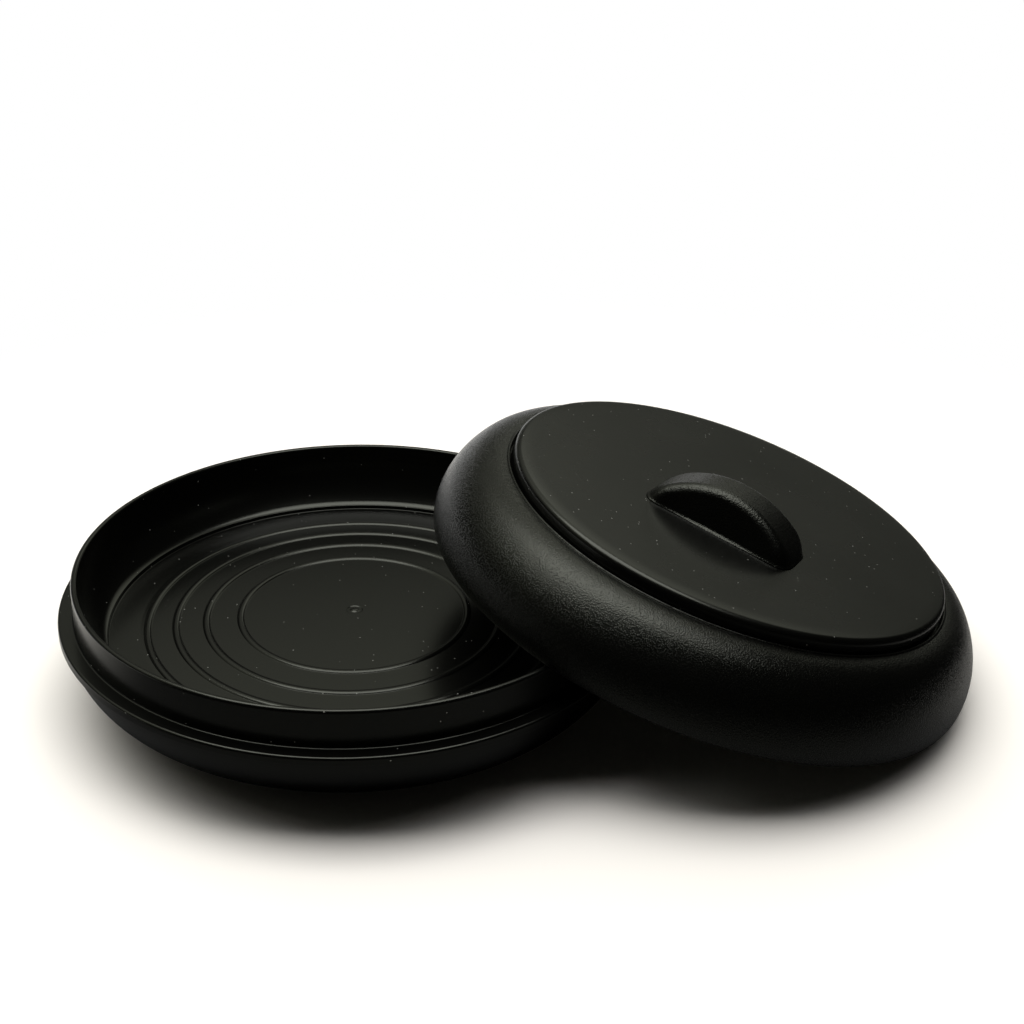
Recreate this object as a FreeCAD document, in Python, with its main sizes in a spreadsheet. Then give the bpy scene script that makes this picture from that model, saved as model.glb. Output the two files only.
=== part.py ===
import FreeCAD, Part
import math
import os

import Sketcher

# A double-walled tortilla warmer: a bowl with a ribbed inner tub, and a bulging lid with a raised
# round top plate and a half-moon grip. The lid is off, leaning on the tub's rim.
# Origin: centre of the bowl's flat foot, +Z up, +X towards the leaning lid. Millimetres.

SIZES = {
    # bowl, the outer skin of the base
    "bowlRadius": 136.0,
    "footIn": 62.0,              # bowl's radius less the foot's
    "bowlTurn": 82.0,            # radius of the long arc that leaves the foot
    "bowlSkin": 2.6,
    "footGrooveIn": 8.0,         # foot's radius less that of the ring groove, which leaves a foot rim
    "footGrooveWide": 3.0,
    "footGrooveDeep": 0.8,
    # tub, the lining of the base
    "baseHeight": 62.8,          # table to the top of the tub's rim
    "tubIn": 4.5,                # bowl's radius less the tub's
    "tubSkin": 3.0,
    "tubDepth": 32.2,            # rim to the flat ring round the floor
    "tubFillet": 17.0,
    "stepIn": 11.5,              # from the wall to where the fillet ends, in a step down to the floor
    "floorStep": 1.9,
    "floorSkin": 2.2,
    "domeIn": 15.0,              # from the step to where the floor starts to rise in a shallow dome
    "domeRise": 4.1,
    "ledgeDrop": 18.3,           # rim to the ledge that carries the lid
    "ledgeSkin": 2.5,
    "lipWide": 2.6,
    "lipTall": 4.2,
    "lipRound": 1.2,
    "lipGap": 0.2,               # between the bowl's top edge and the lip round it
    "keyTall": 3.0,              # ring under the ledge that centres the tub in the bowl
    "keyWide": 1.6,
    "keyGap": 0.5,
    "ribIn": 3.4,                # from the dome's edge to the outermost rib, then from rib to rib
    "ribGapThree": 13.4,
    "ribGapTwo": 14.4,
    "ribGapOne": 16.3,
    "ribWide": 3.6,
    "ribTall": 0.8,
    "ribSunk": 0.1,              # how far the ends of a rib's arc run into the floor
    "pipDish": 4.0,              # shallow dish round the moulding pip
    "pipDishDeep": 0.3,
    "pipRadius": 2.2,
    "pipTall": 0.7,
    # lid shell, the bulging ring
    "lidRimIn": 1.3,             # bowl's radius less that of the lid's rim
    "lidRimWide": 2.6,
    "lidBulge": 1.6,             # widest radius less the rim's
    "lidWidestUp": 7.4,          # lid's rim to its widest ring
    "lidCrestUp": 41.1,
    "lidTurn": 20.0,             # radius of the ring's upper arc
    "lidSkin": 2.6,
    "recessRound": 1.2,
    "recessDeep": 4.4,
    "seatWide": 14.0,            # ring that carries the top plate
    "shelfUp": 22.0,             # shelf that the lid's lining is pressed against
    "shelfTall": 2.4,
    "shelfWide": 6.0,
    # top plate
    "plateIn": 27.4,             # lid's widest radius less the plate's
    "plateUp": 48.3,             # lid's rim to the plate's top
    "plateEdge": 4.5,
    "plateSkin": 2.6,
    "plateGap": 1.0,             # round the plate, in its recess
    # lining of the lid
    "liningTall": 2.4,
    "liningGap": 0.4,
    "liningFlange": 12.0,
    "liningRise": 6.0,           # the middle is raised by this much
    "liningSlope": 8.0,
    # grip
    "gripHalfLong": 39.0,
    "gripTall": 19.8,
    "gripEnd": 7.5,              # radius of the arch at its ends
    "gripHalfWide": 15.6,        # at the ends
    "gripWaist": 1.4,            # the long sides are hollow by this much in the middle
    "gripRound": 6.5,
    "soleOut": 1.2,
    "soleTall": 1.4,
    "gripAcross": -21.3,         # grip's centre from the lid's axis, along the two tilt directions
    "gripAlong": -7.0,
    "gripTurn": -29.7,
    # screws that hold the grip, from under the plate
    "screwSpacing": 36.0,
    "screwRadius": 1.5,
    "screwLong": 13.0,
    "screwHead": 3.6,
    "screwHeadTall": 2.2,
    "screwGap": 0.05,            # between the screw's core and its bore in the grip
    "screwEase": 0.3,            # between the screw and the plate
    # how the lid leans
    "leanOver": 54.32,           # how far the lid reaches over the tub's rim, measured along the lid
    "leanHeading": 1.5,
    "leanAside": 15.5,
    "leanGap": 0.3,              # above the tub's rim where the lid rests
}


class Dim:
    # a size that knows both its number and the sheet expression that gives it
    def __init__(self, number, text):
        self.number = number
        self.text = text

    def __add__(self, other):
        return combine(self, "+", other)

    def __radd__(self, other):
        return combine(other, "+", self)

    def __sub__(self, other):
        return combine(self, "-", other)

    def __rsub__(self, other):
        return combine(other, "-", self)

    def __mul__(self, other):
        return combine(self, "*", other)

    def __rmul__(self, other):
        return combine(other, "*", self)

    def __truediv__(self, other):
        return combine(self, "/", other)


def asDim(thing):
    return thing if isinstance(thing, Dim) else Dim(float(thing), f"{float(thing)}")


def combine(left, sign, right):
    first, second = asDim(left), asDim(right)
    numbers = {
        "+": lambda: first.number + second.number,
        "-": lambda: first.number - second.number,
        "*": lambda: first.number * second.number,
        "/": lambda: first.number / second.number,
    }
    return Dim(numbers[sign](), f"({first.text} {sign} {second.text})")


def root(dim):
    return Dim(math.sqrt(dim.number), f"sqrt({dim.text})")


def makeSheet(doc):
    sheet = doc.addObject("Spreadsheet::Sheet", "Sizes")
    for row, (name, value) in enumerate(SIZES.items(), start=1):
        sheet.set(f"A{row}", name)
        sheet.set(f"B{row}", str(value))
        sheet.setAlias(f"B{row}", name)
    doc.recompute()
    return {name: Dim(float(sheet.get(name)), f"Sizes.{name}") for name in SIZES}


def addDerived(d):
    # radii that follow from the bowl's
    d["footRadius"] = d["bowlRadius"] - d["footIn"]
    d["footGroove"] = d["footRadius"] - d["footGrooveIn"]
    d["tubRadius"] = d["bowlRadius"] - d["tubIn"]
    d["stepRadius"] = d["tubRadius"] - d["tubSkin"] - d["stepIn"]
    d["domeRadius"] = d["stepRadius"] - d["domeIn"]
    d["ribFour"] = d["domeRadius"] - d["ribIn"]
    d["ribThree"] = d["ribFour"] - d["ribGapThree"]
    d["ribTwo"] = d["ribThree"] - d["ribGapTwo"]
    d["ribOne"] = d["ribTwo"] - d["ribGapOne"]
    d["lidRimRadius"] = d["bowlRadius"] - d["lidRimIn"]
    d["lidWidest"] = d["lidRimRadius"] + d["lidBulge"]
    d["plateRadius"] = d["lidWidest"] - d["plateIn"]


def bind(thing, prop, dim):
    thing.setExpression(prop, asDim(dim).text)


# sketches and features

def originPlane(body, role):
    return next(plane for plane in body.Origin.OriginFeatures if plane.Role == role)


def arcBetween(start, end, radius):
    # the shorter arc from start to end; its centre is on the left of the way for a positive radius
    middle = (start + end) * 0.5
    chord = end - start
    reach = math.sqrt(max(radius * radius - chord.Length ** 2 / 4.0, 0.0))
    left = FreeCAD.Vector(-chord.y, chord.x, 0).normalize()
    centre = middle + left * math.copysign(reach, radius)
    circle = Part.Circle(centre, FreeCAD.Vector(0, 0, 1), abs(radius))
    ends = (start, end) if radius > 0 else (end, start)
    return Part.ArcOfCircle(circle, circle.parameter(ends[0]), circle.parameter(ends[1]))


def pin(sketch, index, place, axis, dim):
    # holds one coordinate of a corner; one that is zero lies on the other axis
    if abs(dim.number) < 1e-9:
        sketch.addConstraint(Sketcher.Constraint("PointOnObject", index, place, -2 if axis == "X" else -1))
        return
    held = sketch.addConstraint(Sketcher.Constraint(f"Distance{axis}", -1, 1, index, place, dim.number))
    bind(sketch, f"Constraints[{held}]", dim)


def drawLoop(body, name, corners, plane="XZ_Plane"):
    # corners: (across, up) or (across, up, radius of the arc to the next corner)
    sketch = body.newObject("Sketcher::SketchObject", name)
    sketch.AttachmentSupport = [(originPlane(body, plane), "")]
    sketch.MapMode = "FlatFace"
    points = [FreeCAD.Vector(asDim(c[0]).number, asDim(c[1]).number, 0) for c in corners]
    ends = []
    for index, corner in enumerate(corners):
        start, end = points[index], points[(index + 1) % len(points)]
        if len(corner) == 2:
            sketch.addGeometry(Part.LineSegment(start, end), False)
            ends.append((1, 2))
            continue
        radius = asDim(corner[2])
        sketch.addGeometry(arcBetween(start, end, radius.number), False)
        ends.append((1, 2) if radius.number > 0 else (2, 1))
        held = sketch.addConstraint(Sketcher.Constraint("Radius", index, abs(radius.number)))
        bind(sketch, f"Constraints[{held}]", radius if radius.number > 0 else 0 - radius)
    for index, corner in enumerate(corners):
        before = (index - 1) % len(corners)
        last, first = ends[before][1], ends[index][0]
        sketch.addConstraint(Sketcher.Constraint("Coincident", before, last, index, first))
        pin(sketch, index, first, "X", asDim(corner[0]))
        pin(sketch, index, first, "Y", asDim(corner[1]))
    return sketch


def turn(body, kind, name, corners):
    # kind: Revolution adds the turned section, Groove cuts it away
    sketch = drawLoop(body, f"{name}Section", corners)
    feature = body.newObject(f"PartDesign::{kind}", name)
    feature.Profile = sketch
    feature.ReferenceAxis = (sketch, ["V_Axis"])
    feature.Angle = 360.0
    body.Tip = feature
    return feature


def extrude(body, kind, name, corners, length, plane="XZ_Plane"):
    # kind: Pad adds the drawn outline's solid, Pocket cuts it away; one in the XZ plane goes to both sides
    feature = body.newObject(f"PartDesign::{kind}", name)
    feature.Profile = drawLoop(body, f"{name}Outline", corners, plane)
    bind(feature, "Length", length)
    feature.Midplane = plane == "XZ_Plane"
    body.Tip = feature
    return feature


def roundOff(body, name, radius, chosen):
    # rounds the edges of the body so far for which chosen(box of the edge) holds
    body.Document.recompute()
    before = body.Tip
    edges = enumerate(before.Shape.Edges, start=1)
    names = [f"Edge{index}" for index, edge in edges if chosen(edge.BoundBox)]
    feature = body.newObject("PartDesign::Fillet", name)
    feature.Base = (before, names)
    bind(feature, "Radius", radius)
    body.Tip = feature
    return feature


def bore(body, name, across, along, base, radius, depth):
    hole = body.newObject("PartDesign::SubtractiveCylinder", name)
    bind(hole, "Radius", radius)
    bind(hole, "Height", depth)
    bind(hole, "Placement.Base.x", across)
    bind(hole, "Placement.Base.y", along)
    bind(hole, "Placement.Base.z", base)
    body.Tip = hole
    return hole


def arcOver(half, rise):
    # radius of the arc that rises this much over this half width
    return (half * half + rise * rise) / (2.0 * rise)


def makeBody(doc, label):
    body = doc.addObject("PartDesign::Body", label)
    body.Label = label
    return body


def shoulder(side, crest, crestRadius, sense):
    # two arcs that meet smoothly: one leaves the side point upright, the other reaches the crest level
    across = side[0] - crest[0]
    rise = (crest[1] - side[1]) * sense
    sideRadius = (across * across + rise * rise - 2.0 * crestRadius * rise) / (2.0 * (across - crestRadius))
    sideCentre = (side[0] - sideRadius, side[1])
    crestCentre = (crest[0], crest[1] - crestRadius * sense)
    reach = crestRadius / (sideRadius - crestRadius)
    meet = [crestCentre[k] + (crestCentre[k] - sideCentre[k]) * reach for k in (0, 1)]
    return meet, sideRadius, sideCentre


# base

def ledgeTop(d):
    return d["baseHeight"] - d["ledgeDrop"]


def ledgeUnder(d):
    return ledgeTop(d) - d["ledgeSkin"]


def floorTop(d):
    return d["baseHeight"] - d["tubDepth"]


def makeBaseShell(doc, d):
    body = makeBody(doc, "base_shell")
    top = ledgeUnder(d)
    side, foot = (d["bowlRadius"], top), (d["footRadius"], asDim(0))
    meet, sideRadius, _ = shoulder(side, foot, d["bowlTurn"], -1)
    innerSide = (d["bowlRadius"] - d["bowlSkin"], top)
    innerFoot = (d["footRadius"], d["bowlSkin"])
    innerMeet, innerRadius, _ = shoulder(innerSide, innerFoot, d["bowlTurn"] - d["bowlSkin"], -1)
    turn(body, "Revolution", "BowlSkin", [
        (0, 0),
        (foot[0], foot[1], d["bowlTurn"]),
        (meet[0], meet[1], sideRadius),
        side,
        (innerSide[0], innerSide[1], 0 - innerRadius),
        (innerMeet[0], innerMeet[1], 0 - (d["bowlTurn"] - d["bowlSkin"])),
        innerFoot,
        (0, d["bowlSkin"]),
    ])
    inner = d["footGroove"]
    turn(body, "Groove", "FootGroove", [
        (inner, 0),
        (inner + d["footGrooveWide"], 0),
        (inner + d["footGrooveWide"], d["footGrooveDeep"]),
        (inner, d["footGrooveDeep"]),
    ])
    return body


def floorAt(d, radius):
    # height of the domed floor at a radius
    curve = arcOver(d["domeRadius"], d["domeRise"])
    return floorTop(d) + d["domeRise"] - curve + root(curve * curve - radius * radius)


def makeTub(doc, d):
    body = makeBody(doc, "base_liner")
    rim, floor = d["baseHeight"], floorTop(d)
    outer, inner = d["tubRadius"], d["tubRadius"] - d["tubSkin"]
    crown = d["tubSkin"] / 2.0
    fillet, step = d["tubFillet"], floor + d["floorStep"]
    reach = d["stepRadius"] - (inner - fillet)
    bendUp = step + root(fillet * fillet - reach * reach)
    below = floor - d["floorSkin"]
    curve = arcOver(d["domeRadius"], d["domeRise"])
    turn(body, "Revolution", "TubWall", [
        (0, below + d["domeRise"], 0 - curve),
        (d["domeRadius"], below),
        (outer - (bendUp - below), below, bendUp - below),
        (outer, bendUp),
        (outer, rim - crown, crown),
        (outer - crown, rim, crown),
        (inner, rim - crown),
        (inner, bendUp, 0 - fillet),
        (d["stepRadius"], step),
        (d["stepRadius"], floor),
        (d["domeRadius"], floor, curve),
        (0, floor + d["domeRise"]),
    ])
    top, under = ledgeTop(d), ledgeUnder(d)
    lipOut = d["bowlRadius"] + d["lipGap"] + d["lipWide"]
    keyOut = d["bowlRadius"] - d["bowlSkin"] - d["keyGap"]
    turn(body, "Revolution", "Ledge", [
        (keyOut - d["keyWide"], under - d["keyTall"]),
        (keyOut, under - d["keyTall"]),
        (keyOut, under),
        (d["bowlRadius"] + d["lipGap"], under),
        (d["bowlRadius"] + d["lipGap"], top - d["lipTall"]),
        (lipOut, top - d["lipTall"]),
        (lipOut, top - d["lipRound"], d["lipRound"]),
        (lipOut - d["lipRound"], top),
        (outer - crown, top),
        (outer - crown, under),
        (keyOut - d["keyWide"], under),
    ])
    for name in ("ribOne", "ribTwo", "ribThree", "ribFour"):
        makeRib(body, d, name)
    makePip(body, d, floor + d["domeRise"])
    return body


def makeRib(body, d, name):
    # a low ring with a round top, standing on the dome
    low, high = d[name] - d["ribWide"] / 2.0, d[name] + d["ribWide"] / 2.0
    lowUp, highUp = floorAt(d, low) - d["ribSunk"], floorAt(d, high) - d["ribSunk"]
    below = d["ribTall"]
    turn(body, "Revolution", name[0].upper() + name[1:], [
        (low, lowUp - below),
        (high, highUp - below),
        (high, highUp, arcOver(d["ribWide"] / 2.0, d["ribTall"] + d["ribSunk"])),
        (low, lowUp),
    ])


def makePip(body, d, top):
    # the mark of the mould's gate: a small dome in a shallow dish
    bottom = top - d["pipDishDeep"]
    turn(body, "Groove", "PipDish", [
        (0, bottom),
        (d["pipDish"], bottom),
        (d["pipDish"], top + d["pipDishDeep"]),
        (0, top + d["pipDishDeep"]),
    ])
    turn(body, "Revolution", "Pip", [
        (0, bottom - d["pipTall"]),
        (d["pipRadius"], bottom - d["pipTall"]),
        (d["pipRadius"], bottom, arcOver(d["pipRadius"], d["pipTall"])),
        (0, bottom + d["pipTall"]),
    ])


# lid

def recessRadius(d):
    return d["plateRadius"] + d["plateGap"]


def seatUp(d):
    return d["lidCrestUp"] - d["recessDeep"]


def innerSide(d):
    return d["lidWidest"] - d["lidSkin"], d["lidWidestUp"]


def innerShoulder(d):
    crest = (recessRadius(d) + d["lidSkin"], d["lidCrestUp"] - d["lidSkin"])
    meet, radius, centre = shoulder(innerSide(d), crest, d["lidTurn"] - d["lidSkin"], 1)
    return crest, meet, radius, centre


def insideRadiusAt(d, up):
    # radius of the lid shell's inner side at a height on its long arc
    _, _, radius, centre = innerShoulder(d)
    rise = up - centre[1]
    return centre[0] + root(radius * radius - rise * rise)


def makeLidShell(doc, d):
    body = makeBody(doc, "lid_shell")
    rimOut, rimIn = d["lidRimRadius"], d["lidRimRadius"] - d["lidRimWide"]
    wide, wideUp = d["lidWidest"], d["lidWidestUp"]
    crest = (recessRadius(d) + d["recessRound"], d["lidCrestUp"])
    meet, sideRadius, _ = shoulder((wide, wideUp), crest, d["lidTurn"], 1)
    inCrest, inMeet, inRadius, _ = innerShoulder(d)
    inWide = innerSide(d)
    seat = seatUp(d)
    turn(body, "Revolution", "LidSkin", [
        (rimOut, 0, arcOver(wideUp, wide - rimOut)),
        (wide, wideUp, sideRadius),
        (meet[0], meet[1], d["lidTurn"]),
        (crest[0], crest[1], d["recessRound"]),
        (recessRadius(d), crest[1] - d["recessRound"]),
        (recessRadius(d), seat),
        (recessRadius(d) - d["seatWide"], seat),
        (recessRadius(d) - d["seatWide"], seat - d["lidSkin"]),
        (inCrest[0], seat - d["lidSkin"]),
        (inCrest[0], inCrest[1], 0 - (d["lidTurn"] - d["lidSkin"])),
        (inMeet[0], inMeet[1], 0 - inRadius),
        (inWide[0], inWide[1], 0 - arcOver(wideUp, inWide[0] - rimIn)),
        (rimIn, 0),
    ])
    shelf = d["shelfUp"]
    reach = insideRadiusAt(d, shelf)
    half = d["lidSkin"] / 2.0
    turn(body, "Revolution", "LiningShelf", [
        (reach - d["shelfWide"], shelf),
        (reach + half, shelf),
        (insideRadiusAt(d, shelf + d["shelfTall"]) + half, shelf + d["shelfTall"]),
        (reach - d["shelfWide"], shelf + d["shelfTall"]),
    ])
    return body


def makeLidLiner(doc, d):
    body = makeBody(doc, "lid_liner")
    top, low = d["shelfUp"], d["shelfUp"] - d["liningTall"]
    edge = insideRadiusAt(d, top) - d["liningGap"]
    inner = edge - d["liningFlange"]
    ceiling = inner - d["liningSlope"]
    turn(body, "Revolution", "Lining", [
        (0, low + d["liningRise"]),
        (ceiling, low + d["liningRise"]),
        (inner, low),
        (edge, low),
        (edge, top),
        (inner, top),
        (ceiling, top + d["liningRise"]),
        (0, top + d["liningRise"]),
    ])
    return body


def screwSpots(d):
    # the two screws stand on the grip's long line, in the lid's own frame
    half = d["screwSpacing"] / 2.0
    cosine = Dim(math.cos(math.radians(d["gripTurn"].number)), "cos(Sizes.gripTurn * 1 deg)")
    sine = Dim(math.sin(math.radians(d["gripTurn"].number)), "sin(Sizes.gripTurn * 1 deg)")
    spots = []
    for side in (-1, 1):
        across = d["gripAlong"] + half * cosine * side
        along = d["gripAcross"] + half * sine * side
        spots.append((across, along))
    return spots


def makeLidPlate(doc, d):
    body = makeBody(doc, "lid_cap")
    out, top, skin = d["plateRadius"], d["plateUp"], d["plateSkin"]
    foot = seatUp(d)
    turn(body, "Revolution", "Plate", [
        (0, top - skin),
        (out - d["plateEdge"], top - skin, 0 - (d["plateEdge"] - skin)),
        (out - skin, top - d["plateEdge"]),
        (out - skin, foot),
        (out, foot),
        (out, top - d["plateEdge"], d["plateEdge"]),
        (out - d["plateEdge"], top),
        (0, top),
    ])
    for number, (across, along) in enumerate(screwSpots(d), start=1):
        bore(body, f"ScrewHole{number}", across, along, top - 2.0 * skin,
             d["screwRadius"] + d["screwEase"], 3.0 * skin)
    return body


def archRadius(half, rise, end):
    # radius over the middle of an arch whose ends have the end radius
    return (half * half + rise * rise - 2.0 * end * half) / (2.0 * (rise - end))


def waisted(d, halfLong, halfWide):
    # outline seen from above: straight ends and slightly hollow long sides
    side = arcOver(halfLong, d["gripWaist"])
    return [
        (0 - halfLong, 0 - halfWide, 0 - side),
        (halfLong, 0 - halfWide),
        (halfLong, halfWide, 0 - side),
        (0 - halfLong, halfWide),
    ]


def makeGrip(doc, d):
    # a half-moon between two hollow sides, with a round edge all along, on a thin sole
    body = makeBody(doc, "lid_handle")
    long, tall = d["gripHalfLong"], d["gripTall"]
    extrude(body, "Pad", "Block", waisted(d, long, d["gripHalfWide"]), tall, "XY_Plane")
    arch = archRadius(long, tall, d["gripEnd"])
    meet, endRadius, _ = shoulder((long, asDim(0)), (asDim(0), tall), arch, 1)
    extrude(body, "Pocket", "OverArch", [
        (long + tall, 0),
        (long + tall, tall + tall),
        (0 - (long + tall), tall + tall),
        (0 - (long + tall), 0),
        (0 - long, 0, 0 - endRadius),
        (0 - meet[0], meet[1], 0 - arch),
        (meet[0], meet[1], 0 - endRadius),
        (long, 0),
    ], 4.0 * d["gripHalfWide"])
    roundOff(body, "ArchEdge", d["gripRound"], lambda box: box.ZMax > 1.0 and box.YMin * box.YMax > 0)
    outLong, outWide = long + d["soleOut"], d["gripHalfWide"] + d["soleOut"]
    extrude(body, "Pad", "Sole", waisted(d, outLong, outWide), d["soleTall"], "XY_Plane")
    roundOff(body, "SoleCorners", d["gripRound"] + d["soleOut"],
             lambda box: box.XLength < 0.01 and box.YLength < 0.01 and abs(box.XMin) > long.number)
    for side, word in ((-1, "Left"), (1, "Right")):
        bore(body, f"{word}Bore", d["screwSpacing"] * side / 2.0, asDim(0), asDim(0),
             d["screwRadius"] + d["screwGap"], d["screwLong"] - d["plateSkin"] + 1.0)
    return body


def makeScrew(doc, d, number):
    body = makeBody(doc, f"handle_screw_{number}")
    head, tall = d["screwHead"], d["screwHeadTall"]
    tip = tall + d["screwLong"]
    point = d["screwRadius"] / 2.0
    turn(body, "Revolution", f"Screw{number}", [
        (0, 0),
        (head - tall / 2.0, 0),
        (head, tall / 2.0),
        (head, tall),
        (d["screwRadius"], tall),
        (d["screwRadius"], tip - point),
        (point, tip),
        (0, tip),
    ])
    return body


# places

def leaningLid(d):
    # the lid's rim touches the table and the tub's rim: the plane of its rim is level with the tub's
    # rim where the two circles cross, on the side that meets first
    heading = math.radians(d["leanHeading"].number)
    outer = d["lidRimRadius"].number
    inner = outer - d["lidRimWide"].number
    tubRim = d["tubRadius"].number - d["tubSkin"].number / 2.0
    height = d["baseHeight"].number + d["leanGap"].number
    lean = math.asin(height / (2.0 * outer - d["leanOver"].number))
    cosine = (outer - height / math.sin(lean)) / inner
    sine = math.sqrt(1.0 - cosine * cosine)
    places = []
    for side in (-1, 1):
        down, over = inner * cosine * math.cos(lean), inner * sine * side
        across = down * math.cos(heading) - over * math.sin(heading)
        along = down * math.sin(heading) + over * math.cos(heading) + d["leanAside"].number
        places.append(math.sqrt(tubRim * tubRim - along * along) - across)
    base = FreeCAD.Vector(max(places), d["leanAside"].number, outer * math.sin(lean))
    turned = FreeCAD.Rotation(FreeCAD.Vector(0, 0, 1), math.degrees(heading))
    leaned = FreeCAD.Rotation(FreeCAD.Vector(0, 1, 0), math.degrees(lean))
    return FreeCAD.Placement(base, turned.multiply(leaned))


def onPlate(d, across, along, up, angle=0.0):
    spin = FreeCAD.Rotation(FreeCAD.Vector(0, 0, 1), angle)
    return FreeCAD.Placement(FreeCAD.Vector(across.number, along.number, up.number), spin)


def checked(doc, pieces):
    for thing in doc.Objects:
        if "Invalid" in thing.State or "Error" in thing.State:
            raise RuntimeError(f"{thing.Label} failed: {thing.State}")
    for piece in pieces:
        shape = piece.Shape
        if shape.isNull() or not shape.isValid():
            raise RuntimeError(f"{piece.Label} has no valid shape")
        box = shape.BoundBox
        print(f"{piece.Label}: solids {len(shape.Solids)} faces {len(shape.Faces)} volume {shape.Volume:.0f}")
        for axis in "XYZ":
            low, high = getattr(box, f"{axis}Min"), getattr(box, f"{axis}Max")
            print(f"    {axis.lower()} {low:.1f}..{high:.1f}")


def main():
    doc = FreeCAD.newDocument("tortilla_warmer")
    d = makeSheet(doc)
    addDerived(d)
    base = [makeBaseShell(doc, d), makeTub(doc, d)]
    lid = [makeLidShell(doc, d), makeLidLiner(doc, d), makeLidPlate(doc, d)]
    grip = makeGrip(doc, d)
    screws = [makeScrew(doc, d, number) for number in (1, 2)]
    doc.recompute()

    leaning = leaningLid(d)
    for piece in lid:
        piece.Placement = leaning
    onTop = onPlate(d, d["gripAlong"], d["gripAcross"], d["plateUp"], d["gripTurn"].number)
    grip.Placement = leaning.multiply(onTop)
    under = d["plateUp"] - d["plateSkin"] - d["screwHeadTall"]
    for screw, (across, along) in zip(screws, screwSpots(d)):
        screw.Placement = leaning.multiply(onPlate(d, across, along, under))
    doc.recompute()

    pieces = base + lid + [grip] + screws
    checked(doc, pieces)
    os.makedirs("parts", exist_ok=True)
    for piece in pieces:
        piece.Shape.exportStep(f"parts/{piece.Label}.step")


main()
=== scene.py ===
import math

import bpy
import numpy as np
from mathutils import Matrix, Vector


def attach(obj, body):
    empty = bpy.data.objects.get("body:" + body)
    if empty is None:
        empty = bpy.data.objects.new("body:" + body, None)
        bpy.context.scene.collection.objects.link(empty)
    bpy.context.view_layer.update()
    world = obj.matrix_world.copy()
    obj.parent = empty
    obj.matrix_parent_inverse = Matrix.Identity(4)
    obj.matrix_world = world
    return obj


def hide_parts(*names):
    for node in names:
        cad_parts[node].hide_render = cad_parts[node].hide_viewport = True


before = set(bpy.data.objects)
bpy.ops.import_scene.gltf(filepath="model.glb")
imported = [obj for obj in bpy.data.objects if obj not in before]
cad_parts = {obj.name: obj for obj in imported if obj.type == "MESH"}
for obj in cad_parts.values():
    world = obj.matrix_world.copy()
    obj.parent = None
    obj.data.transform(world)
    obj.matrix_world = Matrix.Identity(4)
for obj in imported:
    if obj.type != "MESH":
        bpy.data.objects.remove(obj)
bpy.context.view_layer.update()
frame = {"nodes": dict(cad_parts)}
mm = 0.001
print("frame loaded, nodes:", ", ".join(frame["nodes"]))


# camera

camera = {
    "place": (75.1, -725.6, 456.5),     # mm, in front of the bowl and above it
    "pitch": 26.83,                     # degrees down
    "roll": 1.27,
    "lens": 60.89,
}


def makeCamera(c):
    data = bpy.data.cameras.new("camera")
    data.lens = c["lens"]
    data.sensor_width = 36.0
    data.clip_start, data.clip_end = 0.01, 50.0
    eye = bpy.data.objects.new("camera", data)
    tilt = Matrix.Rotation(math.radians(90.0 - c["pitch"]), 4, "X")
    roll = Matrix.Rotation(math.radians(c["roll"]), 4, "Z")
    eye.matrix_world = Matrix.Translation(Vector(c["place"]) * mm) @ tilt @ roll
    bpy.context.collection.objects.link(eye)
    bpy.context.scene.camera = eye


makeCamera(camera)
print("camera placed")


# profiles and turned surfaces, all in millimetres until the mesh is made

def arc(centre, radius, first, last, count):
    # points on a circle from one angle to another, in degrees
    angles = np.radians(np.linspace(first, last, count))
    return np.stack([centre[0] + radius * np.cos(angles), centre[1] + radius * np.sin(angles)], axis=1)


def haunch(side, crest, crestRadius, sense, count=26):
    # two arcs that meet smoothly, from the upright side point to the level crest point
    across, rise = side[0] - crest[0], (crest[1] - side[1]) * sense
    sideRadius = (across ** 2 + rise ** 2 - 2 * crestRadius * rise) / (2 * (across - crestRadius))
    sideCentre = np.array([side[0] - sideRadius, side[1]])
    crestCentre = np.array([crest[0], crest[1] - crestRadius * sense])
    turn = math.degrees(math.atan2((crestCentre - sideCentre)[1], (crestCentre - sideCentre)[0]))
    if crestRadius > sideRadius:
        turn = math.degrees(math.atan2((sideCentre - crestCentre)[1], (sideCentre - crestCentre)[0]))
    first = arc(sideCentre, sideRadius, 0, turn, count)
    second = arc(crestCentre, crestRadius, turn, 90 * sense, count)
    return np.vstack([first, second[1:]])


def path(*parts):
    # joins corners and stretches; a corner is (across, up) or (across, up, radius of its rounding)
    corners = []
    for part in parts:
        if isinstance(part, np.ndarray):
            corners += [(p[0], p[1], 0.0) for p in part]
        else:
            corners.append((part[0], part[1], part[2] if len(part) > 2 else 0.0))
    return corners


def rounded(corners, steps=7):
    # each corner with a radius becomes an arc that touches both of its lines
    points = []
    for index, (across, up, radius) in enumerate(corners):
        here = np.array([across, up])
        if radius <= 0.0:
            points.append(here)
            continue
        back = np.array(corners[index - 1][:2]) - here
        ahead = np.array(corners[(index + 1) % len(corners)][:2]) - here
        back, ahead = back / np.linalg.norm(back), ahead / np.linalg.norm(ahead)
        half = math.acos(np.clip(back @ ahead, -1, 1)) / 2
        reach = radius / math.tan(half)
        middle = back + ahead
        centre = here + middle / np.linalg.norm(middle) * radius / math.sin(half)
        start, end = here + back * reach - centre, here + ahead * reach - centre
        swing = math.pi - 2 * half
        for t in np.linspace(0, 1, steps):
            mixed = (math.sin((1 - t) * swing) * start + math.sin(t * swing) * end) / math.sin(swing)
            points.append(centre + mixed)
    return np.array(points)


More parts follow.
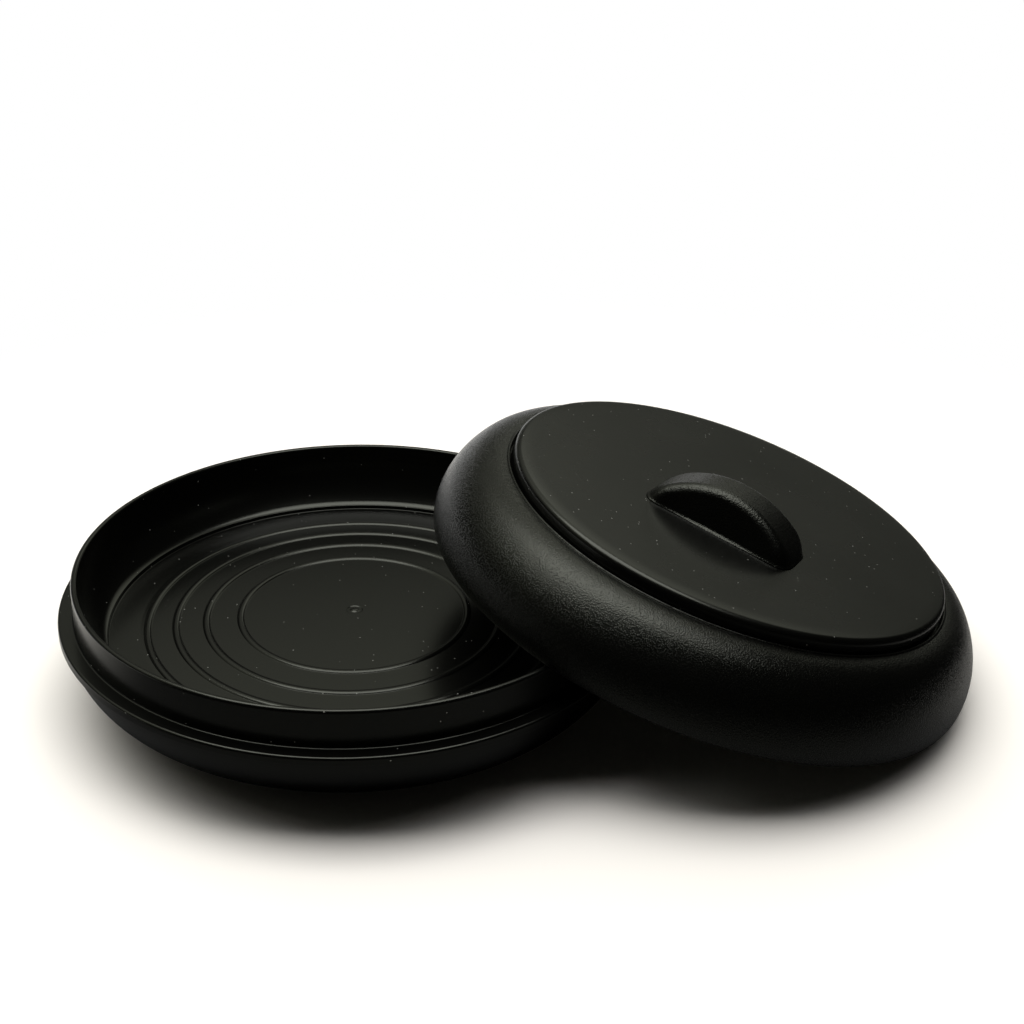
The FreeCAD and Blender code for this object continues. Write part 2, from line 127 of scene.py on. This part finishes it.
def supported(points, near=0.25, longest=6.0):
    # long straight stretches get points near both ends, so that shading stays flat between them
    spread = [points[0]]
    for start, end in zip(points[:-1], points[1:]):
        length = np.linalg.norm(end - start)
        if length > 4 * near:
            count = max(int(length / longest), 1)
            inner = np.linspace(near, length - near, count + 1)
            spread += [start + (end - start) * (d / length) for d in inner]
        spread.append(end)
    return np.array(spread)


def moved(points, place):
    if place is None:
        return points
    turn, shift = np.array(place.to_3x3()), np.array(place.translation)
    return points @ turn.T + shift


def meshFrom(name, points, quads, triangles, place):
    # keeps the points that a face uses, and puts them in their place
    used, compact = np.unique(np.concatenate([quads.ravel(), triangles.ravel()]), return_inverse=True)
    quads, triangles = compact[:quads.size].reshape(-1, 4), compact[quads.size:].reshape(-1, 3)
    points = moved(points[used], place)
    mesh = bpy.data.meshes.new(name)
    mesh.from_pydata((points * mm).tolist(), [], quads.tolist() + triangles.tolist())
    mesh.polygons.foreach_set("use_smooth", np.ones(len(mesh.polygons), dtype=bool))
    mesh.validate()
    mesh.update()
    piece = bpy.data.objects.new(name, mesh)
    bpy.context.collection.objects.link(piece)
    return piece


def turned(name, corners, place=None, around=320):
    # formula: each point (r, z) of the closed profile goes to (r cos a, r sin a, z) for angles a all round;
    # the profile runs anticlockwise seen with +r to the right, so that the faces point outwards
    profile = supported(rounded(corners))
    onAxis = profile[:, 0] < 1e-6
    closed = not onAxis.any()
    angles = np.linspace(0, 2 * math.pi, around, endpoint=False)[:, None]
    radius, height = profile[None, :, 0], profile[None, :, 1]
    grid = np.stack([radius * np.cos(angles), radius * np.sin(angles), height + 0 * angles], axis=2)
    index = np.arange(around * len(profile)).reshape(around, len(profile))
    index[:, onAxis] = index[0, onAxis]
    after = np.roll(index, -1, axis=0)
    if closed:
        index, after = np.hstack([index, index[:, :1]]), np.hstack([after, after[:, :1]])
    a, b, c, d = (side.ravel() for side in (index[:, :-1], after[:, :-1], after[:, 1:], index[:, 1:]))
    faces = np.stack([a, b, c, d], axis=1)
    lowPole, highPole = a == b, c == d
    quads = faces[~lowPole & ~highPole]
    atLow, atHigh = faces[lowPole & ~highPole], faces[highPole & ~lowPole]
    triangles = np.vstack([atLow[:, [0, 2, 3]], atHigh[:, [0, 1, 2]]])
    return meshFrom(name, grid.reshape(-1, 3), quads, triangles, place)


# bowl and tub

base = {
    "footRadius": 74.0, "bowlRadius": 136.0, "bowlTurn": 82.0, "skin": 2.6,
    "grooveIn": 66.0, "grooveOut": 69.0, "grooveDeep": 0.8, "grooveEdge": 0.2,
    "height": 62.8, "rimRadius": 131.5, "wall": 3.0, "depth": 32.2,
    "fillet": 17.0,                                         # the wall's outside at its foot
    "tight": 6.0, "creaseTilt": 20.0, "bendTilt": 50.0,     # its inside: a tight bend, then a wide one
    "stepRadius": 117.0, "step": 1.9, "stepSlope": 0.3, "stepBend": 0.4,
    "floorSkin": 2.2, "domeRadius": 102.0, "domeRise": 4.1, "domeStride": 4.0,
    "ledge": 44.5, "ledgeSkin": 2.5, "ledgeBend": 0.8, "edge": 0.3,
    "lipRadius": 138.8, "lipInner": 136.2, "lipTall": 4.2, "lipRound": 1.2, "lipFoot": 0.6,
    "ribs": (98.6, 85.2, 70.8, 54.5), "ribWide": 3.6, "ribTall": 0.8, "ribSunk": 0.1, "ribFoot": 0.35,
    "dish": 4.0, "dishDeep": 0.3, "dishSlope": 0.4, "dishEdge": 0.2, "dishRound": 0.5,
    "pip": 2.2, "pipTall": 0.7,
}


def bowlProfile(b):
    under = b["ledge"] - b["ledgeSkin"]
    side, foot = (b["bowlRadius"], under), (b["footRadius"], 0.0)
    innerSide, innerFoot = (b["bowlRadius"] - b["skin"], under), (b["footRadius"], b["skin"])
    outer = haunch(side, foot, b["bowlTurn"], -1)[::-1]
    inner = haunch(innerSide, innerFoot, b["bowlTurn"] - b["skin"], -1)
    deep, edge = b["grooveDeep"], b["grooveEdge"]
    groove = path((b["grooveIn"], 0.0, edge), (b["grooveIn"], deep, edge),
                  (b["grooveOut"], deep, edge), (b["grooveOut"], 0.0, edge))
    return path((0.0, 0.0)) + groove + path(outer, inner, (0.0, b["skin"]))


def domeAt(b, radius):
    # height of the tub's domed floor
    curve = (b["domeRadius"] ** 2 + b["domeRise"] ** 2) / (2 * b["domeRise"])
    return b["height"] - b["depth"] + b["domeRise"] - curve + np.sqrt(curve ** 2 - radius ** 2)


def dome(b, first, last, drop=0.0):
    radii = np.linspace(first, last, int(abs(last - first) / b["domeStride"]) + 2)
    return np.stack([radii, domeAt(b, radii) - drop], axis=1)


def ridgeAt(b, radius):
    # a rib: round on top, with small hollow fillets at its foot, sheared to the slope of the floor
    half, tall, foot = b["ribWide"] / 2, b["ribTall"] + b["ribSunk"], b["ribFoot"]
    curve = (half ** 2 + tall ** 2) / (2 * tall)
    low = b["ribTall"] - curve
    aside = math.sqrt((curve + foot) ** 2 - (foot - low) ** 2)
    swing = math.degrees(math.atan2(foot - low, aside))
    outer = arc((aside, foot), foot, -90, swing - 180, 5)
    over = arc((0.0, low), curve, swing, 180 - swing, 15)
    inner = arc((-aside, foot), foot, -swing, -90, 5)
    points = np.vstack([outer, over[1:-1], inner])
    slope = (domeAt(b, radius + 1.0) - domeAt(b, radius - 1.0)) / 2
    up = domeAt(b, radius) + points[:, 1] + slope * points[:, 0]
    return np.stack([radius + points[:, 0], up], axis=1)


def wallFoot(b, inner, foot):
    # formula: a wide arc comes down from the upright wall until its slope is bendTilt, and a tight arc
    # goes on to creaseTilt at the foot; the wide radius is the one at which the two meet smoothly
    tight, low, high = b["tight"], math.radians(b["creaseTilt"]), math.radians(b["bendTilt"])
    tightAt = (foot[0] - tight * math.sin(low), foot[1] + tight * math.cos(low))
    wide = (inner - tightAt[0] - tight * math.sin(high)) / (1 - math.sin(high))
    wideAt = (inner - wide, tightAt[1] + (wide - tight) * math.cos(high))
    upper = arc(wideAt, wide, 0, b["bendTilt"] - 90, 20)
    lower = arc(tightAt, tight, b["bendTilt"] - 90, b["creaseTilt"] - 90, 14)
    return path(upper, lower[1:-1])


def tubProfile(b):
    floor = b["height"] - b["depth"]
    foot = (b["stepRadius"], floor + b["step"])
    inner = b["rimRadius"] - b["wall"]
    reach = b["stepRadius"] - (inner - b["fillet"])
    bendUp = foot[1] + math.sqrt(b["fillet"] ** 2 - reach ** 2)
    thick = bendUp - floor + b["floorSkin"]
    crown = b["wall"] / 2
    under, lipUnder = b["ledge"] - b["ledgeSkin"], b["ledge"] - b["lipTall"]
    atLedge = math.degrees(math.asin((bendUp - under) / thick))
    corners = path(dome(b, 0.0, b["domeRadius"], b["floorSkin"]))
    corners += path(arc((b["rimRadius"] - thick, bendUp), thick, -90, -atLedge, 20))
    corners += path((b["lipInner"], under, b["edge"]), (b["lipInner"], lipUnder, b["edge"]),
                    (b["lipRadius"], lipUnder, b["lipFoot"]), (b["lipRadius"], b["ledge"], b["lipRound"]),
                    (b["rimRadius"], b["ledge"], b["ledgeBend"]))
    corners += path(arc((b["rimRadius"] - crown, b["height"] - crown), crown, 0, 180, 17))
    corners += wallFoot(b, inner, foot)
    corners += path((foot[0], foot[1], b["edge"]), (foot[0] - b["stepSlope"], floor, b["stepBend"]))
    start = b["domeRadius"]
    for rib in b["ribs"]:
        ridge = ridgeAt(b, rib)
        corners += path(dome(b, start, ridge[0, 0])[:-1], ridge)
        start = ridge[-1, 0]
    top = float(domeAt(b, 0.0))
    dished = top - b["dishDeep"]
    nub = (b["pip"] ** 2 + b["pipTall"] ** 2) / (2 * b["pipTall"])
    nubEdge = math.degrees(math.acos(b["pip"] / nub))
    corners += path(dome(b, start, b["dish"] + b["dishRound"])[1:], (b["dish"], top, b["dishEdge"]),
                    (b["dish"] - b["dishSlope"], dished, b["dishEdge"]))
    corners += path(arc((0.0, dished + b["pipTall"] - nub), nub, nubEdge, 90, 8))
    return corners


bowl = turned("bowl_skin", bowlProfile(base), around=256)
tub = turned("tub", tubProfile(base), around=204)
print("bowl and tub made")


# lid, made level and then leaned

lean = {
    "over": 54.32,                      # how far the lid's rim runs on past the height of the tub's rim
    "heading": 1.5, "aside": 15.5,      # degrees, and mm to the back
    "gap": 0.3,
}

lid = {
    "rim": 134.7, "rimWide": 2.6, "rimEdge": 0.5, "rimTuck": 0.02,
    "widest": 136.3, "widestUp": 7.4, "crestUp": 41.1, "turn": 20.0, "skin": 2.6,
    "recess": 109.9, "recessRound": 1.2, "bead": 0.65, "seat": 36.7, "seatIn": 95.9,
    "liningUp": 22.0, "liningEdge": 130.2, "liningFlat": 118.2, "liningCeiling": 110.2,
    "liningTall": 2.4, "liningRise": 6.0, "liningBend": 3.0, "liningFoot": 0.4,
}

plate = {
    "radius": 108.9, "up": 48.3, "edge": 2.8, "edgeClear": 1.0, "skin": 2.6, "innerRound": 1.0, "foot": 0.3,
    "sagWide": 9.0, "sag": 0.40, "sagPoints": 6,
}


def leaningPlace(n, b, l):
    # the lid's rim touches the table and, where the two rims cross, clears the tub's rim by the gap
    heading = math.radians(n["heading"])
    tilt = math.asin((b["height"] + n["gap"]) / (2 * l["rim"] - n["over"]))
    inner = l["rim"] - l["rimWide"]
    tubRim = b["rimRadius"] - b["wall"] / 2
    cosine = (l["rim"] - (b["height"] + n["gap"]) / math.sin(tilt)) / inner
    down, over = inner * cosine * math.cos(tilt), inner * math.sqrt(1 - cosine ** 2)
    reaches = []
    for side in (-1, 1):
        across = down * math.cos(heading) - over * side * math.sin(heading)
        along = down * math.sin(heading) + over * side * math.cos(heading) + n["aside"]
        reaches.append(math.sqrt(tubRim ** 2 - along ** 2) - across)
    shift = Matrix.Translation((max(reaches), n["aside"], l["rim"] * math.sin(tilt)))
    return shift @ Matrix.Rotation(heading, 4, "Z") @ Matrix.Rotation(tilt, 4, "Y")


def lidProfile(l):
    inside = l["widest"] - l["skin"]
    crest = (l["recess"] + l["recessRound"], l["crestUp"])
    hollowCrest = (l["recess"] + l["skin"], l["crestUp"] - l["skin"])
    bulge = haunch((l["widest"], l["widestUp"]), crest, l["turn"], 1, 34)
    hollow = haunch((inside, l["widestUp"]), hollowCrest, l["turn"] - l["skin"], 1)[::-1]
    drop = (l["widestUp"] ** 2 + (l["widest"] - l["rim"]) ** 2) / (2 * (l["widest"] - l["rim"]))
    swing = math.degrees(math.asin(l["widestUp"] / drop))
    flare = arc((l["widest"] - drop, l["widestUp"]), drop, -swing, 0, 8)
    innerFlare = flare[::-1] - np.array([l["rimWide"], 0.0])
    bead = arc((l["recess"] + l["bead"], l["crestUp"]), l["bead"], 0, 180, 9)
    rim = path((l["rim"] - l["rimWide"] + l["rimTuck"], 0.0, l["rimEdge"]),
               (l["rim"] - l["rimTuck"], 0.0, l["rimEdge"]))
    seat = path((l["recess"], l["seat"]), (l["seatIn"], l["seat"]), (l["seatIn"], l["seat"] - l["skin"]),
                (l["recess"] + l["skin"], l["seat"] - l["skin"]))
    return rim + path(flare[1:], bulge[1:], bead) + seat + path(hollow, innerFlare[1:-1])


def plateProfile(p, l):
    top, low = p["up"], p["up"] - p["skin"]
    inward = np.linspace(0, 1, p["sagPoints"] + 1)[:-1]       # the top sags a little before its rounded edge
    sagging = np.stack([p["radius"] - p["sagWide"] * inward, top - p["sag"] * (1 - inward) ** 2], axis=1)
    corner = (p["radius"], sagging[0, 1], p["edge"])
    inner = sagging[sagging[:, 0] < p["radius"] - p["edge"] - p["edgeClear"]]
    inside = p["radius"] - p["skin"]
    foot = path((inside, l["seat"]), (p["radius"], l["seat"], p["foot"]))
    return path((0.0, low), (inside, low, p["innerRound"])) + foot + path(
        corner, inner, (p["radius"] - p["sagWide"], top), (0.0, top))


def liningProfile(l):
    top, bend, rise = l["liningUp"], l["liningBend"], l["liningRise"]
    low = top - l["liningTall"]
    under = path((0.0, low + rise), (l["liningCeiling"], low + rise, bend), (l["liningFlat"], low, bend))
    over = path((l["liningFlat"], top, bend), (l["liningCeiling"], top + rise, bend), (0.0, top + rise))
    return under + path((l["liningEdge"], low, l["liningFoot"]), (l["liningEdge"], top)) + over


leaning = leaningPlace(lean, base, lid)
ring = turned("lid_ring", lidProfile(lid), leaning)
cover = turned("lid_plate", plateProfile(plate, lid), leaning)
lining = turned("lid_lining", liningProfile(lid), leaning, 200)
print("lid made, its rim's centre at", tuple(round(v, 2) for v in leaning.translation))


# grip

grip = {
    "halfLong": 38.8, "tall": 19.6, "end": 3.2, "halfWide": 16.0, "waist": 1.5, "draft": 0.15,
    "round": 4.2, "corner": 10.0,       # along the crown's edges, and at the four corners seen from above
    "soleOut": 1.6, "soleTall": 1.5,
    "soleEven": 0.55, "soleNear": 0.45,     # shares of soleOut: all round, and more near, less far
    "along": -7.0, "across": -21.3, "turn": -29.7,
}


def gripDepth(g, x, y, z):
    # how deep a point lies: f under the arch, e behind the hollow sides, with a round edge between them
    long, tall, end = g["halfLong"], g["tall"], g["end"]
    arch = (long ** 2 + tall ** 2 - 2 * end * long) / (2 * (tall - end))
    endAt, archUp = long - end, tall - arch
    beyond = np.abs(x) * -archUp - (z - archUp) * endAt > 0
    f = np.where(beyond, end - np.hypot(np.abs(x) - endAt, z), arch - np.hypot(x, z - archUp))
    halfWide = g["halfWide"] - g["waist"] * np.clip(1 - (x / long) ** 2, 0, 1) - g["draft"] * z
    pastLong = np.maximum(np.abs(x) - long + g["corner"], 0)
    pastWide = np.maximum(np.abs(y) - halfWide + g["corner"], 0)
    e = g["corner"] - np.hypot(pastLong, pastWide)
    return g["round"] - np.hypot(np.maximum(g["round"] - f, 0), np.maximum(g["round"] - e, 0))


def gripSurface(g, place, around=360, upward=110, halvings=40):
    # formula: each ray from the foot's centre ends where the depth is zero, found by halving;
    # the foot then flares into the sole
    turnAngle = np.linspace(0, 2 * math.pi, around, endpoint=False)[:, None]
    rise = np.radians(np.linspace(0, 90, upward))[None, :]
    level = np.cos(rise)
    x, y, z = level * np.cos(turnAngle), level * np.sin(turnAngle), np.sin(rise) + 0 * turnAngle
    near, far = 0 * z, 0 * z + 2 * g["halfLong"]
    for _ in range(halvings):
        middle = (near + far) / 2
        inside = gripDepth(g, middle * x, middle * y, middle * z) > 0
        near, far = np.where(inside, middle, near), np.where(inside, far, middle)
    grid = np.stack([near * x, near * y, near * z], axis=2)
    flare = g["soleOut"] * np.clip(1 - grid[:, :, 2] / g["soleTall"], 0, 1) ** 2
    outward = np.hypot(x, y) + 1e-9
    flare *= g["soleEven"] - g["soleNear"] * y / outward
    grid[:, :, 0] += flare * x / outward
    grid[:, :, 1] += flare * y / outward
    grid[:, -1] = grid[0, -1]
    index = np.arange(around * upward).reshape(around, upward)
    index[:, -1] = index[0, -1]
    after = np.roll(index, -1, axis=0)
    faces = np.stack([index[:, :-1], after[:, :-1], after[:, 1:], index[:, 1:]], axis=2).reshape(-1, 4)
    atPole = faces[:, 2] == faces[:, 3]
    foot = np.stack([after[:, 0], index[:, 0], np.full(around, around * upward)], axis=1)
    points = np.vstack([grid.reshape(-1, 3), [[0.0, 0.0, 0.0]]])
    triangles = np.vstack([faces[atPole][:, :3], foot])
    return meshFrom("grip", points, faces[~atPole], triangles, place)


onPlate = Matrix.Translation((grip["along"], grip["across"], plate["up"]))
knob = gripSurface(grip, leaning @ onPlate @ Matrix.Rotation(math.radians(grip["turn"]), 4, "Z"))
print("grip made")


# materials

class Wire:
    # a node socket; arithmetic on it adds Math nodes
    def __init__(self, tree, socket=None):
        self.tree, self.socket = tree, socket

    def node(self, kind, settings=None, values=None, output=0):
        made = self.tree.nodes.new(kind)
        for name, value in (settings or {}).items():
            setattr(made, name, value)
        for name, value in (values or {}).items():
            if isinstance(value, Wire):
                self.tree.links.new(value.socket, made.inputs[name])
            else:
                made.inputs[name].default_value = value
        return Wire(self.tree, made.outputs[output])

    def sum(self, kind, first, second):
        return self.node("ShaderNodeMath", {"operation": kind}, {0: first, 1: second})

    def __add__(self, other):
        return self.sum("ADD", self, other)

    def __radd__(self, other):
        return self.sum("ADD", other, self)

    def __sub__(self, other):
        return self.sum("SUBTRACT", self, other)

    def __rsub__(self, other):
        return self.sum("SUBTRACT", other, self)

    def __mul__(self, other):
        return self.sum("MULTIPLY", self, other)

    def __rmul__(self, other):
        return self.sum("MULTIPLY", other, self)

    def __pow__(self, other):
        return self.sum("POWER", self, other)

    def span(self, low, high, toLow=0.0, toHigh=1.0):
        # a smooth step from one value to another
        return self.node("ShaderNodeMapRange", {"interpolation_type": "SMOOTHSTEP", "clamp": True}, {
            "Value": self, "From Min": low, "From Max": high, "To Min": toLow, "To Max": toHigh})


def startMaterial(name):
    material = bpy.data.materials.new(name)
    material.use_nodes = True
    tree = material.node_tree
    return material, Wire(tree), tree.nodes["Principled BSDF"]


def connect(w, shader, sockets):
    for name, wire in sockets.items():
        w.tree.links.new(wire.socket, shader.inputs[name])


def spots(w, coords, scale, size, share, full=0.4, step=0.001):
    # small round marks on a share of the cells of a random pattern, full out to a part of their size
    cell = {"feature": "F1", "distance": "EUCLIDEAN"}
    away = w.node("ShaderNodeTexVoronoi", cell, {"Vector": coords, "Scale": scale})
    chance = w.node("ShaderNodeTexVoronoi", cell, {"Vector": coords, "Scale": scale}, "Color")
    lucky = w.node("ShaderNodeSeparateColor", None, {"Color": chance}, 0)
    return away.span(size, size * full) * lucky.span(1 - share, 1 - share + step)


black = {
    # hollow is a painted shade colour for the hollows of the leather grain
    "colour": (0.0009, 0.0009, 0.0008, 1.0), "hollow": (0.0006, 0.0006, 0.0005, 1.0),
    "ior": 1.40, "tint": (0.97, 1.0, 0.86, 1.0),
    "satinRough": 0.24, "plateRough": 0.27, "satinCloud": 0.05, "cloudScale": 22.0,
    "moulding": 0.010, "mouldingScale": 1900.0,     # bump depth in mm, and how fine it is
    "dust": (0.22, 0.22, 0.20, 1.0), "dustRough": 0.3, "dustScale": 400.0, "dustSize": 0.14,
    "tubDust": 0.07, "bowlDust": 0.01, "plateDust": 0.13,
    "grainRough": 0.24, "grainCloud": 0.06, "grainCloudScale": 30.0, "pebbleRough": 0.08,
    "grain": 0.13, "grainScale": 1500.0, "grainSmooth": 0.2, "grainPower": 1.5,
    "warp": 0.0004, "warpScale": 420.0,             # the shift in metres, and how fine it is
}

screwZinc = {"colour": (0.6, 0.6, 0.62, 1.0), "rough": 0.3, "brushed": 0.15, "brushScale": 2500.0}


def satinBlack(name, k, roughness, dust):
    material, w, shader = startMaterial(name)
    coords = w.node("ShaderNodeTexCoord", None, None, "Object")
    cloudy = w.node("ShaderNodeTexNoise", None, {"Vector": coords, "Scale": k["cloudScale"], "Detail": 3.0})
    fine = w.node("ShaderNodeTexNoise", None, {"Vector": coords, "Scale": k["mouldingScale"], "Detail": 2.0})
    specks = spots(w, coords, k["dustScale"], k["dustSize"], dust)
    mix = {"Factor": specks, "A": k["colour"], "B": k["dust"]}
    colour = w.node("ShaderNodeMix", {"data_type": "RGBA"}, mix, 2)
    shade = roughness + (cloudy - 0.5) * k["satinCloud"] + specks * k["dustRough"]
    bump = w.node("ShaderNodeBump", None, {"Height": fine, "Distance": k["moulding"] * mm, "Strength": 1.0})
    connect(w, shader, {"Base Color": colour, "Roughness": shade, "Normal": bump})
    shader.inputs["IOR"].default_value = k["ior"]
    shader.inputs["Specular Tint"].default_value = k["tint"]
    return material


def grainedBlack(name, k):
    # leather grain: a warped pattern of small pebbles, rougher in the hollows between them, with painted
    # shade making the hollows darker
    material, w, shader = startMaterial(name)
    coords = w.node("ShaderNodeTexCoord", None, None, "Object")
    swirl = {"Vector": coords, "Scale": k["warpScale"], "Detail": 1.0}
    warp = w.node("ShaderNodeTexNoise", None, swirl, "Color")
    bend = {0: warp, 1: (k["warp"],) * 3, 2: coords}
    bent = w.node("ShaderNodeVectorMath", {"operation": "MULTIPLY_ADD"}, bend)
    cells = {"Vector": bent, "Scale": k["grainScale"], "Smoothness": k["grainSmooth"]}
    pebbles = w.node("ShaderNodeTexVoronoi", {"feature": "SMOOTH_F1"}, cells)
    clouds = {"Vector": coords, "Scale": k["grainCloudScale"], "Detail": 3.0}
    cloudy = w.node("ShaderNodeTexNoise", None, clouds)
    height = (1 - pebbles) ** k["grainPower"]
    bump = w.node("ShaderNodeBump", None, {"Height": height, "Distance": k["grain"] * mm, "Strength": 1.0})
    # painted shade: the hollows between the pebbles get the darker hollow colour
    mix = {"Factor": height, "A": k["hollow"], "B": k["colour"]}
    colour = w.node("ShaderNodeMix", {"data_type": "RGBA"}, mix, 2)
    shade = k["grainRough"] + (cloudy - 0.5) * k["grainCloud"] + pebbles * k["pebbleRough"]
    connect(w, shader, {"Base Color": colour, "Roughness": shade, "Normal": bump})
    shader.inputs["IOR"].default_value = k["ior"]
    shader.inputs["Specular Tint"].default_value = k["tint"]
    return material


def screwSteel(name, k):
    material, w, shader = startMaterial(name)
    coords = w.node("ShaderNodeTexCoord", None, None, "Object")
    brushed = w.node("ShaderNodeTexNoise", None, {"Vector": coords, "Scale": k["brushScale"], "Detail": 2.0})
    connect(w, shader, {"Roughness": k["rough"] + brushed * k["brushed"]})
    shader.inputs["Base Color"].default_value = k["colour"]
    shader.inputs["Metallic"].default_value = 1.0
    return material


def dress(piece, material):
    piece.data.materials.clear()
    piece.data.materials.append(material)


satin = satinBlack("black_satin", black, black["satinRough"], black["tubDust"])
satinClean = satinBlack("black_satin_clean", black, black["satinRough"], black["bowlDust"])
satinPlate = satinBlack("black_plate", black, black["plateRough"], black["plateDust"])
grained = grainedBlack("black_grained", black)
steel = screwSteel("screw_steel", screwZinc)

pieces = [
    (bowl, satinClean, "base", "base_shell", "base_outer"),
    (tub, satin, "base", "base_liner", "base_inner"),
    (ring, grained, "lid", "lid_shell", "lid_outer"),
    (cover, satinPlate, "lid", "lid_cap", "lid_plate"),
    (lining, satin, "lid", "lid_liner", "lid_lining"),
    (knob, grained, "lid", "lid_handle", "grip"),
]
for piece, material, body, node, slotName in pieces:
    dress(piece, material)
    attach(piece, body)
    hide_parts(node)
for node in ("handle_screw_1", "handle_screw_2"):
    for slot in frame["nodes"][node].material_slots:
        slot.material = steel
print("materials made")


# floor, lamps and world

studio = {
    "floorSize": 12.0, "floorDrop": 0.0003, "middle": (0.08, 0.0, 0.0),     # m
    # floorShade is painted shade: the floor's colour in reflections near the object, away from its pale
    # side; floorDark is its colour further out
    "floorColour": (0.92, 0.885, 0.835, 1.0), "floorShade": 0.12, "floorDark": 0.01,
    "whiteFrom": (0.30, 0.55),          # the floor fades to white over this stretch from the middle
    "paleBack": (0.0, 0.2), "paleSide": 0.5, "paleRight": (0.36, 0.18), "paleFrom": (0.18, 0.30),
    "darkFrom": (0.18, 0.42),
    "lampHeight": 1.30,
    # name, place to the right and to the back, width, depth, watts
    "lamps": (("softbox", -0.10, 0.0, 1.35, 0.85, 17.5), ("ceiling", -0.20, 0.50, 2.90, 2.00, 22.0)),
}

room = {
    "fill": 0.012, "colour": (0.98, 1.0, 0.86, 1.0),
    # how far to the back, left, right or up a direction points where each glow starts and is full
    "wallBack": (0.1, 0.7), "wallSkew": 0.8,
    "wallLeft": (-0.06, 0.12), "wallLeftSkew": 0.3, "wallUp": (0.22, 1.0),
    "panelRight": (0.03, 0.16), "panelEnd": (-0.1, 0.3), "panelSkew": 0.9,
    "panelUp": (0.30, 0.42), "panel": 0.85,
    "horizonBack": (0.70, 0.90), "horizonUp": (0.25, 0.05), "horizon": 0.3,
}


def grey(level):
    return (level, level, level, 1.0)


def backgroundRays(w):
    # what a ray from the camera meets, also through glass
    rays = w.node("ShaderNodeLightPath", None, None, "Is Camera Ray")
    return rays + w.node("ShaderNodeLightPath", None, None, "Is Transmission Ray")


def makeFloor(s):
    half, low = s["floorSize"] / 2, -s["floorDrop"]
    corners = [(-half, -half, low), (half, -half, low), (half, half, low), (-half, half, low)]
    mesh = bpy.data.meshes.new("floor")
    mesh.from_pydata(corners, [], [(0, 1, 2, 3)])
    floor = bpy.data.objects.new("floor", mesh)
    bpy.context.collection.objects.link(floor)
    material, w, shader = startMaterial("floor_white")
    coords = w.node("ShaderNodeTexCoord", None, None, "Object")
    centred = w.node("ShaderNodeVectorMath", {"operation": "SUBTRACT"}, {0: coords, 1: s["middle"]})
    away = w.node("ShaderNodeVectorMath", {"operation": "LENGTH"}, {0: centred}, "Value")
    seen = backgroundRays(w)
    shiny = w.node("ShaderNodeLightPath", None, None, "Is Glossy Ray")
    white = w.node("ShaderNodeEmission", None, {"Color": grey(1.0), "Strength": 1.0})
    matte = w.node("ShaderNodeBsdfDiffuse", None, {"Color": s["floorColour"]})
    shade = w.node("ShaderNodeBsdfDiffuse", None, {"Color": grey(s["floorShade"])})
    dark = w.node("ShaderNodeBsdfDiffuse", None, {"Color": grey(s["floorDark"])})
    x, y = (w.node("ShaderNodeSeparateXYZ", None, {0: centred}, axis) for axis in "XY")
    aside = x.sum("ABSOLUTE", x, 0.0)
    # in reflections the floor is pale only behind and beside the object, and fades at the far right;
    # elsewhere reflections see it in a painted shade colour near the object, and darker further out
    pale = (y + aside * s["paleSide"]).span(*s["paleBack"])
    pale = pale * x.span(*s["paleRight"]) * away.span(*s["paleFrom"])
    share = (seen + shiny * pale) * away.span(*s["whiteFrom"])
    dim = shiny * (1 - pale)
    lit = w.node("ShaderNodeMixShader", None, {0: dim, 1: matte, 2: shade})
    lit = w.node("ShaderNodeMixShader", None, {0: dim * away.span(*s["darkFrom"]), 1: lit, 2: dark})
    mixed = w.node("ShaderNodeMixShader", None, {0: share, 1: lit, 2: white})
    output = next(n for n in w.tree.nodes if n.type == "OUTPUT_MATERIAL")
    w.tree.links.new(mixed.socket, output.inputs["Surface"])
    w.tree.nodes.remove(shader)
    mesh.materials.append(material)


def makeLamp(name, x, y, wide, deep, power, height):
    data = bpy.data.lights.new(name, "AREA")
    data.shape = "RECTANGLE"
    data.size, data.size_y = wide, deep
    data.energy = power
    lamp = bpy.data.objects.new(name, data)
    lamp.location = (x, y, height)
    lamp.visible_glossy = name == "softbox"   # the ceiling lamp is not seen in reflections
    bpy.context.collection.objects.link(lamp)


def makeWorld(r):
    # the room is pale behind the object, by a wall at the left, a panel at the right and a low band
    # between them, and dark on the other sides
    world = bpy.data.worlds.new("studio")
    world.use_nodes = True
    tree = world.node_tree
    tree.nodes.clear()
    w = Wire(tree)
    way = w.node("ShaderNodeTexCoord", None, None, "Generated")
    right, back, up = (w.node("ShaderNodeSeparateXYZ", None, {0: way}, axis) for axis in "XYZ")
    seen = backgroundRays(w)
    behind = (back - right * r["wallSkew"]).span(*r["wallBack"])
    toLeft = (back * r["wallLeftSkew"] - right).span(*r["wallLeft"])
    wall = behind * toLeft * up.span(*r["wallUp"])
    panelEnd = (back * r["panelSkew"] - right).span(*r["panelEnd"])
    panel = right.span(*r["panelRight"]) * panelEnd * up.span(*r["panelUp"], 0.0, r["panel"])
    horizon = back.span(*r["horizonBack"]) * up.span(*r["horizonUp"], 0.0, r["horizon"])
    glow = r["fill"] + wall + panel + horizon
    strength = glow + seen * (1 - glow)
    mix = {"Factor": seen, "A": r["colour"], "B": grey(1.0)}
    colour = w.node("ShaderNodeMix", {"data_type": "RGBA"}, mix, 2)
    light = w.node("ShaderNodeBackground", None, {"Color": colour, "Strength": strength})
    output = tree.nodes.new("ShaderNodeOutputWorld")
    tree.links.new(light.socket, output.inputs["Surface"])
    bpy.context.scene.world = world


makeFloor(studio)
for lamp in studio["lamps"]:
    makeLamp(*lamp, studio["lampHeight"])
makeWorld(room)
bpy.context.scene.view_settings.view_transform = "Standard"
print("floor, lamps and world made")
